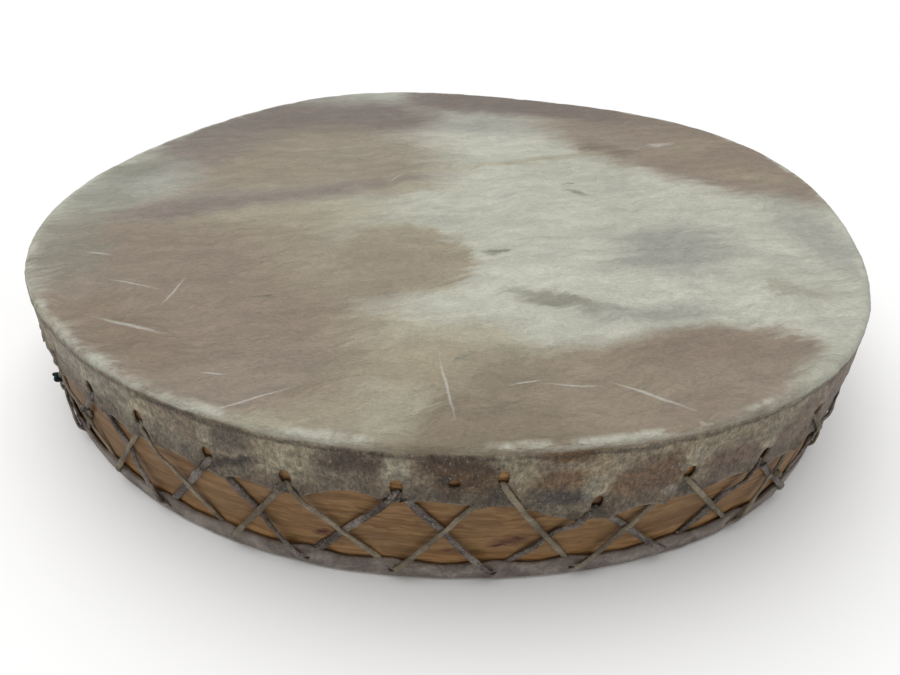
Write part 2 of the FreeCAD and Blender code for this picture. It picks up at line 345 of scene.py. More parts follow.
RIM_ROUND = 3.6
BACK_ROUND = 2.6
BATTER_ANGLES = column_angles(hole_angle)
BACK_ANGLES = column_angles(back_hole_angle)
BATTER_HOLE_Z = between_holes(HOLE_Z)
SHARE = np.tile(np.arange(COLS_PER_HOLE) / COLS_PER_HOLE, HOLES)
ARCHES = np.repeat([cyclic(ARCH, i) for i in range(HOLES)], COLS_PER_HOLE)
BATTER_EDGE = between_holes(EDGE_Z) + ARCHES * np.sin(np.pi * SHARE) ** 2
BACK_EDGE = BACK_EDGE_Z + BACK_EDGE_WAVE * np.cos(2 * np.pi * SHARE)
LACE_T = 0.75             # half thickness of a lace
HOLE_HALF_W, HOLE_HALF_H = 2.6, 4.3
HIGH_HOLE_Z = 62.0        # a hole higher than this is near the rim
HIGH_HOLE_HALF_W = 2.2
BACK_HOLE_HALF_W, BACK_HOLE_HALF_H = 1.65, 1.9
FLAW_COLUMN = 5 * COLS_PER_HOLE + 13      # an old hole in the batter skirt
FLAW_HALF_W, FLAW_HALF_H = 2.4, 2.3
LACE_DROP = 3.7           # a lace leaves this far below the middle of its batter hole


def edge_at(angle, angles, edge):
    return np.interp(angle, angles, edge, period=360)


def apart(angle, other):
    """Distance round the wall from other to angle, in millimetres."""
    return turn_between(other, angle) * math.radians(HEAD_R)


def comes_from(i):
    """The hole of the other head from which hole i's lace comes up behind the skirt."""
    return i - 1 if i % 2 == 0 else i + 1


def over_lace(angle, z, i, other, hole_at, hole_z, other_at, other_z):
    """How near each point of the wall is to the half run from hole i to the other head: 1 on it, 0 away."""
    length_a = float(apart(other_at(other), hole_at(i)))
    length_z = other_z - hole_z
    full = math.hypot(length_a, length_z)
    along = (apart(angle, hole_at(i)) * length_a + (z - hole_z) * length_z) / full
    away = (apart(angle, hole_at(i)) * length_z - (z - hole_z) * length_a) / full
    return hill(away, 1.9) * smooth(0.5, 4.0, along) * (along < full / 2)


def pulled(across, up):
    """How far the skin stands out round a batter hole, where the lace gathers it."""
    dimple = hill(across, 4.5) * hill(up + 6.0, 4.5)
    collar = hill(np.hypot(across / 4.2, (up - 0.5) / 6.2) - 1, 0.30)
    ridge = hill(across, 1.8 + 0.16 * np.maximum(up, 0)) * smooth(3, 9, up) * smooth(24, 10, up)
    folds = hill(np.abs(across) - 4.0 + 0.35 * up, 1.7) * smooth(-1, -5, up)
    return -0.9 * dimple + 0.45 * collar + 0.75 * ridge + 0.85 * folds


def batter_offset(angle, z):
    """How far the batter skirt's outer face stands out from the rim."""
    edge = edge_at(angle, BATTER_ANGLES, BATTER_EDGE)
    depth = np.clip((DRUM_H - RIM_ROUND - z) / (DRUM_H - RIM_ROUND - edge), 0, 1.2)
    out = 0.1 + 0.8 * smooth(0, 0.8, depth)
    skin = np.stack([math.radians(HEAD_R) * np.asarray(angle), np.asarray(z), 0 * np.asarray(z)], axis=-1)
    out = out + (0.30 * rough(skin, 9.0, 6) + 0.16 * rough(skin, 4.2, 7)) * smooth(0, 0.3, depth)
    for i in range(HOLES):
        lace_z = cyclic(HOLE_Z, i) - LACE_DROP
        over = over_lace(angle, z, i, comes_from(i), hole_angle, lace_z, back_hole_angle, BACK_HOLE_Z)
        slack = hill(apart(angle, hole_angle(i) + PITCH / 2), 10.0) * smooth(0.7, 1.0, depth)
        out = out + pulled(apart(angle, hole_angle(i)), z - cyclic(HOLE_Z, i)) + 0.9 * over + 0.6 * slack
    return np.maximum(out, 0.0)


def back_offset(angle, z):
    """How far the back skirt's outer face stands out from the rim."""
    out = 0.4 + 0.3 * smooth(BACK_ROUND, BACK_EDGE_Z, z) + 0 * angle
    for i in range(HOLES):
        lace_z = cyclic(HOLE_Z, comes_from(i)) - LACE_DROP
        out = out + over_lace(angle, z, i, comes_from(i), back_hole_angle, BACK_HOLE_Z, hole_angle, lace_z)
    return out


def batter_relief(points):
    """The batter head's unevenness: slack between the tight pulls, and a dip just inside the rim."""
    share = rim_share(points)
    dip = -0.5 * hill(share - 0.955, 0.022)
    for i in range(HOLES):
        dip = dip - 0.45 * hill(apart(angle_of(points), hole_angle(i)), 5.0) * smooth(0.95, 1.0, share)
    return dip + 0.5 * rough(points, 70.0, 3) * (1 - share ** 6) + 0.14 * rough(points, 14.0, 4)


def back_relief(points):
    """The back head lies flat on its rim and sinks a little towards the middle."""
    return 1.2 * (1 - smooth(0.6, 0.93, rim_share(points))) + 0.1


def build_batter_head(material):
    skirt = Skirt(BATTER_ANGLES, DRUM_H - RIM_ROUND, BATTER_HOLE_Z, BATTER_EDGE, 16, 11)
    for i in range(HOLES):
        # a hole near the rim has less skin over it to draw aside, so it is narrower
        half_w = HIGH_HOLE_HALF_W if cyclic(HOLE_Z, i) > HIGH_HOLE_Z else HOLE_HALF_W
        skirt.open_hole(i * COLS_PER_HOLE, half_w, HOLE_HALF_H, 3, 3.3)
    skirt.open_hole(FLAW_COLUMN, FLAW_HALF_W, FLAW_HALF_H, 2, 2.6)
    skirt.z[:, -1] += 0.35 * rough(at(BATTER_ANGLES, 0.0, 0.0), 5.0, 5)
    offset = batter_offset(skirt.angle, skirt.z)
    places = at(skirt.angle, skirt.z, 0.0)
    offset += 0.4 * rough(places, 24.0, 6) + 0.35 * rough(places * [1, 1, 0.45], 6.5, 9)
    offset[:, 2:] = np.maximum(offset[:, 2:], 0.0)
    return head_piece("batter_skin", skirt, offset, DRUM_H, 1, RIM_ROUND, batter_relief, material)


def mark_strain(piece):
    """Notes for the material where the laces strain the skin: above 0 over a hole, below 0 under it."""
    places = np.array([vertex.co for vertex in piece.data.vertices]) / MM
    strain = np.zeros(len(places))
    for i in range(HOLES):
        across = apart(angle_of(places), hole_angle(i))
        up = places[:, 2] - cyclic(HOLE_Z, i)
        over = hill(across, 2.4 + 0.3 * np.maximum(up, 0)) * smooth(0, 5, up) * smooth(22, 8, up)
        under = hill(across, 5.5) * hill(up + 7.5, 4.5)
        strain += over - under
    note(piece, "strain", strain)


def build_back_head(material):
    skirt = Skirt(BACK_ANGLES, BACK_ROUND, np.full(COLS, BACK_HOLE_Z), BACK_EDGE, 3, 5)
    for i in range(HOLES):
        skirt.open_hole(i * COLS_PER_HOLE, BACK_HOLE_HALF_W, BACK_HOLE_HALF_H, 2, 2.4)
    places = at(BACK_ANGLES, 0.0, 0.0)
    ragged = 0.4 * rough(places, 5.0, 7) + 0.9 * rough(places, 17.0, 10)
    skirt.z[:, -1] += ragged
    skirt.z[:, -2] += ragged * 0.5
    offset = back_offset(skirt.angle, skirt.z)
    offset += 0.4 * rough(at(skirt.angle, skirt.z, 0.0), 9.0, 8)
    return head_piece("back_skin", skirt, offset, 0.0, -1, BACK_ROUND, back_relief, material)


# ---------------------------------------------------------------- laces and knots

LACE_STEP = 0.8           # spacing of the points along a lace
LACE_RISE = 0.5           # a lace leaves this far above the middle of its back hole
LACE_CLEAR = 0.1          # lace to hide or wood
CROSS_LIFT = 1.45         # how far the light lace rises over the dark one
SECTION = 10              # points round a lace
KNOT_POINTS = 90


def crossing_z(top, back):
    """Height at which the run from batter hole top to back hole back crosses its mirror run."""
    a_top, a_back = hole_angle(top), back_hole_angle(back)
    b_top, b_back = hole_angle(back), back_hole_angle(top)
    z_a, z_b = cyclic(HOLE_Z, top), cyclic(HOLE_Z, back)
    slope = (a_back - a_top) / (BACK_HOLE_Z - z_a)
    mirror = (b_back - b_top) / (BACK_HOLE_Z - z_b)
    return (b_top - a_top + slope * z_a - mirror * z_b) / (slope - mirror)


def run(top, back, downward, on_top):
    """One run between two holes as columns of angle, height and distance out from the rim."""
    z_top = cyclic(HOLE_Z, top) - LACE_DROP
    z_back = BACK_HOLE_Z + LACE_RISE
    length = math.hypot(float(apart(back_hole_angle(back), hole_angle(top))), z_top - z_back)
    share = np.linspace(0, 1, int(length / LACE_STEP))
    angle = hole_angle(top) + (back_hole_angle(back) - hole_angle(top)) * share
    z = z_top + (z_back - z_top) * share
    top_edge = edge_at(angle, BATTER_ANGLES, BATTER_EDGE)
    back_edge = edge_at(angle, BACK_ANGLES, BACK_EDGE)
    # it is drawn tight, so between the two edges it runs straight, but for the crossing
    reach = np.clip((top_edge - z) / np.maximum(top_edge - back_edge, 1), 0, 1)
    wood = WOOD + LACE_T + LACE_CLEAR
    over_top = batter_offset(angle, z) + LACE_T + LACE_CLEAR
    over_back = back_offset(angle, z) + LACE_T + LACE_CLEAR
    near = hill(z - crossing_z(top, back), 5.0)
    if downward:
        leaving = wood + (over_top - wood) * smooth(0.0, 1.6, z_top - z)
        off = np.where(reach > 0, wood + (over_top - wood) * (1 - reach) ** 1.2, leaving)
    else:
        leaving = wood + (over_back - wood) * smooth(0.0, 2.4, z - z_back)
        off = np.where(reach < 1, wood + (over_back - wood) * reach ** 1.2, leaving)
    crossed = np.maximum(off, wood + CROSS_LIFT * near) if on_top else off + (wood - off) * near
    route = np.stack([angle, z, crossed], axis=1)
    return route if downward else route[::-1]


def blurred(values, width):
    """The values along a line, averaged over about width neighbours."""
    kernel = np.hanning(2 * width + 3)[1:-1]
    padded = np.pad(values, width, mode="edge")
    return np.convolve(padded, kernel / kernel.sum(), mode="valid")


def lace_route(first, direction, on_top, knot_run, knot_share):
    """The whole lace once round the drum, opened at its knot, which is that share along that run."""
    runs = []
    for stitch in range(HOLES // 2):
        top = first + direction * 2 * stitch
        runs.append(run(top, top + direction, True, on_top))
        runs.append(run(top + 2 * direction, top + direction, False, on_top))
    cut = sum(len(r) for r in runs[:knot_run % len(runs)])
    cut += int(len(runs[knot_run]) * knot_share)
    route = np.concatenate(runs)
    route = np.concatenate([route[cut:], route[:cut]])
    route[:, 0] = np.unwrap(route[:, 0], period=360)
    return at(*[blurred(column, 2) for column in route.T])


def outward(points):
    flat = points * [1, 1, 0]
    return flat / np.linalg.norm(flat, axis=1, keepdims=True)


def strand(name, path, normals, half_w, half_t, twist, material):
    """A flat strip along the path, of that half width and thickness, turned by twist about its line."""
    count = len(path)
    tangent = np.gradient(path, axis=0)
    tangent /= np.linalg.norm(tangent, axis=1, keepdims=True)
    side = np.cross(tangent, normals)
    side /= np.linalg.norm(side, axis=1, keepdims=True)
    up = np.cross(side, tangent)
    turn = np.arange(SECTION) * 2 * np.pi / SECTION
    c, s = np.cos(twist)[:, None, None], np.sin(twist)[:, None, None]
    flat = np.cos(turn)[None, :, None] * np.asarray(half_w).reshape(-1, 1, 1)
    thick = np.sin(turn)[None, :, None] * np.asarray(half_t).reshape(-1, 1, 1)
    points = path[:, None] + (flat * c - thick * s) * side[:, None] + (flat * s + thick * c) * up[:, None]
    points = points.reshape(-1, 3)
    faces = []
    for k in range(count - 1):
        for j in range(SECTION):
            a, b = k * SECTION + j, k * SECTION + (j + 1) % SECTION
            faces.append([a, b, b + SECTION, a + SECTION])
    faces.append(list(range(SECTION))[::-1])
    faces.append([(count - 1) * SECTION + j for j in range(SECTION)])
    piece = new_piece(name, points, faces, material)
    # the strip's own coordinates, in millimetres: round it twice over, and along it
    length = np.concatenate([[0], np.cumsum(np.linalg.norm(np.diff(path, axis=0), axis=1))])
    own = np.zeros((count, SECTION, 3))
    own[:, :, 0] = np.cos(turn)
    own[:, :, 1] = np.sin(turn)
    own[:, :, 2] = length[:, None]
    note(piece, "strand", own)
    return piece


def wander(count, length, seed):
    """Smooth random values from about -1 to 1 along a line."""
    return np.array([noise.noise(Vector((k / length, seed * 7.7, seed * 3.1))) * 1.6 for k in range(count)])


def build_lace(name, route, half_w, half_t, seed, material):
    count = len(route)
    width = half_w * (1 + 0.22 * wander(count, 11, seed))
    thick = half_t * (1 + 0.18 * wander(count, 7, seed + 1))
    twist = 0.4 * wander(count, 26, seed + 2)
    bent = route + outward(route) * 0.10 * wander(count, 9, seed + 3)[:, None]
    bent[:, 2] += 0.22 * wander(count, 30, seed + 4)
    return strand(name, bent, outward(route), width, thick, twist, material)


def build_knot(name, centre, size, half_w, half_t, turn, material):
    """A lace's ends tied together: an overhand knot drawn small."""
    t = np.linspace(0, 2 * np.pi, KNOT_POINTS, endpoint=False)
    loop = np.stack([np.sin(t) + 2 * np.sin(2 * t), np.cos(t) - 2 * np.cos(2 * t), -np.sin(3 * t)], axis=1)
    loop *= np.array(size) / np.array([6.0, 6.0, 2.0])
    out = Vector((centre[0], centre[1], 0)).normalized()
    basis = Matrix((Vector((0, 0, 1)).cross(out), Vector((0, 0, 1)), out)).transposed()
    basis = np.array(basis @ Matrix.Rotation(turn, 3, "Z"))
    path = loop @ basis.T + centre
    normals = path - centre + np.array(out) * 0.5
    path = np.concatenate([path, path[:1]])
    normals = np.concatenate([normals, normals[:1]])
    same = np.ones(KNOT_POINTS + 1)
    return strand(name, path, normals, half_w * same, half_t * same, 0 * same, material)


# ---------------------------------------------------------------- materials


GLOSS = 0.016             # what the surface's own gloss adds to every colour


def colour(*display):
    """A linear colour from red, green and blue as seen, 0 to 255."""
    shares = [value / 255 for value in display]
    linear = [v / 12.92 if v <= 0.04045 else ((v + 0.055) / 1.055) ** 2.4 for v in shares]
    return (*[max(v - GLOSS, 0.2 * v) for v in linear], 1.0)


class Paint:
    """One material's node tree. Each call adds a node and returns its output socket."""

    def __init__(self, name):
        self.material = bpy.data.materials.new(name)
        self.material.use_nodes = True
        tree = self.material.node_tree
        tree.nodes.clear()
        self.nodes, self.links = tree.nodes, tree.links
        self.shader = self.nodes.new("ShaderNodeBsdfPrincipled")
        output = self.nodes.new("ShaderNodeOutputMaterial")
        self.links.new(self.shader.outputs["BSDF"], output.inputs["Surface"])

    def put(self, socket, value):
        if isinstance(value, bpy.types.NodeSocket):
            self.links.new(value, socket)
        else:
            socket.default_value = value

    def math(self, operation, a, b=0.0, clamp=False):
        node = self.nodes.new("ShaderNodeMath")
        node.operation = operation
        node.use_clamp = clamp
        self.put(node.inputs[0], a)
        self.put(node.inputs[1], b)
        return node.outputs[0]

    def vector(self, operation, a, b=(0.0, 0.0, 0.0)):
        node = self.nodes.new("ShaderNodeVectorMath")
        node.operation = operation
        self.put(node.inputs[0], a)
        if isinstance(b, float):
            self.put(node.inputs["Scale"], b)
        else:
            self.put(node.inputs[1], b)
        return node.outputs["Value"] if operation == "LENGTH" else node.outputs["Vector"]

    def object_place(self):
        """The point in the object's own coordinates, in millimetres."""
        node = self.nodes.new("ShaderNodeTexCoord")
        return self.vector("SCALE", node.outputs["Object"], 1 / MM)

    def attribute(self, name, output):
        node = self.nodes.new("ShaderNodeAttribute")
        node.attribute_name = name
        return node.outputs[output]

    def split(self, vector):
        node = self.nodes.new("ShaderNodeSeparateXYZ")
        self.put(node.inputs[0], vector)
        return node.outputs[0], node.outputs[1], node.outputs[2]

    def join(self, x, y, z):
        node = self.nodes.new("ShaderNodeCombineXYZ")
        for socket, value in zip(node.inputs, (x, y, z)):
            self.put(socket, value)
        return node.outputs[0]

    def move(self, vector, centre=(0, 0, 0), turn=0.0, size=(1, 1, 1)):
        """Coordinates in a box of that centre, turn about Z in degrees, and size."""
        node = self.nodes.new("ShaderNodeMapping")
        node.vector_type = "TEXTURE"
        self.put(node.inputs["Vector"], vector)
        node.inputs["Location"].default_value = centre
        node.inputs["Rotation"].default_value = (0, 0, math.radians(turn))
        node.inputs["Scale"].default_value = size
        return node.outputs[0]

    def noise(self, vector, size, detail=2.0, rough=0.5, warp=0.0, colours=False):
        """Noise with lumps about size across, from 0 to 1."""
        node = self.nodes.new("ShaderNodeTexNoise")
        self.put(node.inputs["Vector"], vector)
        node.inputs["Scale"].default_value = 1 / size
        node.inputs["Detail"].default_value = detail
        node.inputs["Roughness"].default_value = rough
        node.inputs["Distortion"].default_value = warp
        return node.outputs["Color"] if colours else node.outputs["Fac"]

    def spots(self, vector, size, low, high):
        """1 in small round spots about size apart, 0 between them."""
        node = self.nodes.new("ShaderNodeTexVoronoi")
        self.put(node.inputs["Vector"], vector)
        node.inputs["Scale"].default_value = 1 / size
        return self.ease(node.outputs["Distance"], high, low)

    def ease(self, value, low, high):
        """0 at low, 1 at high, and an S curve between them."""
        node = self.nodes.new("ShaderNodeMapRange")
        node.interpolation_type = "SMOOTHSTEP"
        self.put(node.inputs["Value"], value)
        flipped = low > high
        node.inputs["From Min"].default_value = min(low, high)
        node.inputs["From Max"].default_value = max(low, high)
        node.inputs["To Min"].default_value = 1.0 if flipped else 0.0
        node.inputs["To Max"].default_value = 0.0 if flipped else 1.0
        return node.outputs[0]

    def mix(self, share, a, b):
        node = self.nodes.new("ShaderNodeMix")
        node.data_type = "RGBA"
        self.put(node.inputs["Factor"], share)
        self.put(node.inputs["A"], a)
        self.put(node.inputs["B"], b)
        return node.outputs["Result"]

    def times(self, a, b):
        """One colour multiplied by a grey value or another colour."""
        node = self.nodes.new("ShaderNodeMix")
        node.data_type = "RGBA"
        node.blend_type = "MULTIPLY"
        node.inputs["Factor"].default_value = 1.0
        self.put(node.inputs["A"], a)
        self.put(node.inputs["B"], b)
        return node.outputs["Result"]

    def shade(self, base, value, low, high, dark, light):
        """The colour times dark where the value is low, and times light where it is high."""
        return self.times(base, self.between(self.ease(value, low, high), dark, light))

    def cover(self, base, tint, amount, share):
        """The colour under a layer of tint, as dense as amount times share."""
        return self.mix(self.math("MULTIPLY", amount, share), base, tint)

    def plus(self, a, b, share):
        """a and a share of b."""
        return self.math("ADD", a, self.math("MULTIPLY", b, share))

    def between(self, value, low, high):
        """The 0 to 1 value spread from low to high."""
        node = self.nodes.new("ShaderNodeMapRange")
        self.put(node.inputs["Value"], value)
        node.inputs["To Min"].default_value = low
        node.inputs["To Max"].default_value = high
        return node.outputs[0]

    def wandering(self, vector, *waves):
        """The coordinates pushed about by noise: each wave is its size and its reach."""
        for size, reach in waves:
            push = self.vector("SUBTRACT", self.noise(vector, size, 2.0, colours=True), (0.5, 0.5, 0.5))
            vector = self.vector("ADD", vector, self.vector("SCALE", push, float(reach)))
        return vector

    def combed(self, vector, turn, along, across, reach):
        """The coordinates pushed along the hair's direction by fine noise that runs the same way."""
        streak = self.noise(self.move(vector, turn=turn, size=(along, across, 1)), 1.0, 3.0, 0.6)
        push = self.math("MULTIPLY", self.math("SUBTRACT", streak, 0.5), reach)
        way = (math.cos(math.radians(turn)), math.sin(math.radians(turn)), 0.0)
        return self.vector("ADD", vector, self.vector("MULTIPLY", self.join(push, push, 0.0), way))

    def patch(self, base, vector, centre, size, turn, soft, tint, share=1.0):
        """base with an oval patch of tint: soft is how much of the patch its edge takes."""
        reach = 1 + soft
        local = self.move(vector, (*centre, 0), turn, (size[0] * reach, size[1] * reach, 1e6))
        node = self.nodes.new("ShaderNodeTexGradient")
        node.gradient_type = "SPHERICAL"
        self.put(node.inputs["Vector"], local)
        cover = self.ease(node.outputs["Fac"], 0.0, 2 * soft / reach)
        cover.node.inputs["To Max"].default_value = share
        return self.mix(cover, base, tint)

    def finish(self, base, rough, height, reach, strength, specular=0.5):
        """Sets the shader: its bumps are height times reach, in millimetres."""
        self.put(self.shader.inputs["Base Color"], base)
        self.put(self.shader.inputs["Roughness"], rough)
        self.put(self.shader.inputs["Specular IOR Level"], specular)
        node = self.nodes.new("ShaderNodeBump")
        node.inputs["Distance"].default_value = reach * MM
        node.inputs["Strength"].default_value = strength
        self.put(node.inputs["Height"], height)
        self.put(self.shader.inputs["Normal"], node.outputs["Normal"])
        return self.material


def grey(value):
    return (value, value, value, 1.0)


HEAD_GAIN = grey(0.82)
WALL_GAIN = (0.60, 0.565, 0.51, 1.0)
BACK_GAIN = (0.70, 0.68, 0.64, 1.0)
WOOD_GAIN = (0.68, 0.65, 0.60, 1.0)
LACE_GAIN = grey(0.85)
CREAM = colour(187, 188, 172)
PALE = colour(199, 199, 184)
GREY_CREAM = colour(168, 168, 158)
TAN = colour(165, 155, 132)
DEEP_TAN = colour(152, 140, 122)
BROWN = colour(146, 132, 117)
DARK_BROWN = colour(123, 112, 104)
PURPLE = colour(138, 126, 117)
SMUDGE = colour(158, 157, 149)
STAIN = colour(138, 136, 122)
ORANGE = colour(172, 164, 142)
RED_BROWN = colour(86, 34, 16)
SCRATCH = colour(206, 204, 196)

# Each patch: centre and half sizes in rim radii, turn in degrees, softness of its edge, colour, share.
HEAD_PATCHES = [
    # the darker back of the skin along the left and the top
    ((-0.38, 0.68), (0.38, 0.23), -3, 0.35, DARK_BROWN, 0.95),
    ((-0.68, 0.42), (0.28, 0.22), 60, 0.45, DARK_BROWN, 0.9),
    ((-0.36, 0.27), (0.34, 0.28), 10, 0.45, DEEP_TAN, 0.9),
    ((-0.62, 0.12), (0.22, 0.16), 20, 0.60, DEEP_TAN, 0.9),
    ((-0.16, 0.12), (0.10, 0.10), 10, 0.70, DEEP_TAN, 0.8),
    ((-0.72, 0.29), (0.14, 0.08), 65, 0.60, PURPLE, 0.7),
    ((-0.35, 0.90), (0.26, 0.10), 4, 0.50, GREY_CREAM, 0.5),
    ((0.02, 0.90), (0.17, 0.13), 0, 0.45, DARK_BROWN, 0.9),
    ((0.19, 0.84), (0.26, 0.14), -8, 0.40, DARK_BROWN, 0.9),
    ((0.17, 0.62), (0.14, 0.12), 0, 0.70, SMUDGE, 0.7),
    # the brown right-hand end
    ((0.68, 0.73), (0.50, 0.22), -38, 0.32, DARK_BROWN, 1.0),
    ((0.68, 0.48), (0.44, 0.26), -42, 0.30, BROWN, 0.9),
    ((0.90, 0.25), (0.33, 0.23), -38, 0.30, BROWN, 0.95),
    ((0.50, 0.40), (0.10, 0.06), -20, 0.70, BROWN, 0.8),
    ((0.52, 0.385), (0.08, 0.035), -20, 0.80, colour(118, 107, 96), 0.6),
    ((0.78, 0.43), (0.20, 0.035), 30, 0.90, TAN, 0.4),
    ((0.88, 0.18), (0.12, 0.04), -10, 0.90, TAN, 0.5),
    ((0.69, 0.44), (0.042, 0.015), 22, 0.60, colour(205, 203, 196), 0.5),
    # cream and tan to the left of the middle
    ((-0.86, 0.08), (0.14, 0.12), 15, 0.60, GREY_CREAM, 0.9),
    ((-0.92, -0.08), (0.12, 0.12), 20, 0.60, STAIN, 0.7),
    ((-0.52, -0.19), (0.34, 0.14), 18, 0.50, TAN, 0.9),
    ((-0.12, -0.36), (0.17, 0.18), 0, 0.20, TAN, 0.95),
    ((-0.09, -0.36), (0.13, 0.13), 30, 0.60, DEEP_TAN, 0.6),
    ((-0.56, -0.32), (0.42, 0.15), -8, 0.45, DEEP_TAN, 0.9),
    ((-0.47, -0.025), (0.38, 0.045), 20.5, 0.80, PURPLE, 0.9),
    ((-0.71, -0.10), (0.15, 0.07), 25, 0.70, PURPLE, 0.9),
    ((0.17, 0.26), (0.32, 0.016), 19, 0.95, ORANGE, 0.7),
    ((-0.08, 0.06), (0.09, 0.03), 12, 0.90, ORANGE, 0.6),
    # the big brown stretch at the lower left
    ((-0.60, -0.48), (0.38, 0.23), -30, 0.22, BROWN, 0.95),
    ((-0.44, -0.66), (0.34, 0.22), -20, 0.18, BROWN, 0.95),
    ((-0.28, -0.55), (0.16, 0.14), 20, 0.40, BROWN, 0.85),
    ((-0.90, -0.32), (0.08, 0.16), 20, 0.60, STAIN, 0.7),
    ((-0.30, -0.42), (0.14, 0.08), -30, 0.60, TAN, 0.4),
    ((-0.64, -0.66), (0.18, 0.06), -40, 0.60, colour(138, 122, 104), 0.6),
    # along the near edge
    ((0.08, -0.87), (0.38, 0.15), 0, 0.22, DEEP_TAN, 0.95),
    ((0.06, -0.92), (0.20, 0.10), 0, 0.50, colour(136, 124, 106), 0.9),
    ((0.14, -0.79), (0.16, 0.10), 0, 0.50, colour(141, 129, 111), 0.9),
    ((0.44, -0.75), (0.27, 0.13), 14, 0.18, BROWN, 0.95),
    ((0.26, -0.76), (0.14, 0.10), 14, 0.50, DEEP_TAN, 0.8),
    ((0.45, -0.69), (0.16, 0.05), 10, 0.60, colour(140, 125, 111), 0.7),
    ((-0.06, -0.66), (0.20, 0.085), -6, 0.35, TAN, 0.8),
    ((-0.05, -0.66), (0.13, 0.05), 12, 0.70, colour(178, 174, 154), 0.7),
    ((-0.02, -0.57), (0.16, 0.06), 0, 0.60, PALE, 0.7),
    ((-0.13, -0.88), (0.06, 0.07), -30, 0.55, colour(176, 172, 152), 0.75),
    ((-0.30, -0.90), (0.16, 0.035), 12, 0.80, TAN, 0.7),
    ((-0.08, -0.76), (0.13, 0.07), 8, 0.60, TAN, 0.8),
    ((-0.90, 0.16), (0.10, 0.08), 40, 0.70, STAIN, 0.8),
    ((0.92, -0.22), (0.08, 0.22), 8, 0.70, GREY_CREAM, 0.8),
    ((0.58, -0.28), (0.12, 0.08), 20, 0.80, SMUDGE, 0.5),
    ((0.30, 0.78), (0.16, 0.08), -8, 0.60, DARK_BROWN, 0.8),
    ((0.52, 0.76), (0.22, 0.08), -24, 0.60, DARK_BROWN, 0.8),
    ((0.66, -0.77), (0.16, 0.035), 38, 0.70, CREAM, 0.7),
    # grey smudges on the cream
    ((0.53, -0.27), (0.13, 0.10), 35, 0.60, SMUDGE, 0.8),
    ((0.44, -0.34), (0.12, 0.03), 20, 0.70, SMUDGE, 0.8),
    ((0.22, -0.53), (0.10, 0.028), -15, 0.60, STAIN, 0.85),
    ((0.42, -0.56), (0.14, 0.03), 8, 0.80, SMUDGE, 0.8),
    ((0.76, -0.47), (0.07, 0.03), -40, 0.70, colour(166, 162, 146), 0.8),
    ((0.12, -0.31), (0.020, 0.012), 0, 0.60, STAIN, 0.9),
    ((0.35, 0.05), (0.014, 0.014), 0, 0.60, STAIN, 0.8),
    ((0.345, 0.12), (0.010, 0.010), 0, 0.60, STAIN, 0.8),
    ((-0.38, -0.515), (0.010, 0.010), 0, 0.60, colour(112, 104, 94), 0.9),
    ((0.02, -0.73), (0.014, 0.008), 40, 0.60, STAIN, 0.8),
]
# Scratches on the head: start, end and half width, in rim radii.
SCRATCHES = [
    ((-0.035, -0.735), (-0.018, -0.87), 0.0022),
    ((-0.42, -0.885), (-0.31, -0.825), 0.0022),
    ((-0.50, -0.86), (-0.44, -0.875), 0.0018),
    ((-0.60, -0.555), (-0.585, -0.47), 0.0022),
    ((-0.74, -0.47), (-0.64, -0.50), 0.0018),
    ((-0.79, -0.36), (-0.84, -0.35), 0.0030),
    ((-0.46, -0.78), (-0.42, -0.785), 0.0018),
    ((0.09, -0.80), (0.14, -0.785), 0.0018),
    ((0.16, -0.795), (0.24, -0.80), 0.0018),
    ((-0.17, 0.085), (-0.13, 0.15), 0.0018),
    ((0.37, -0.06), (0.41, -0.05), 0.0024),
    ((0.28, -0.795), (0.38, -0.850), 0.0030),
    ((-0.70, -0.62), (-0.58, -0.66), 0.0040),
]
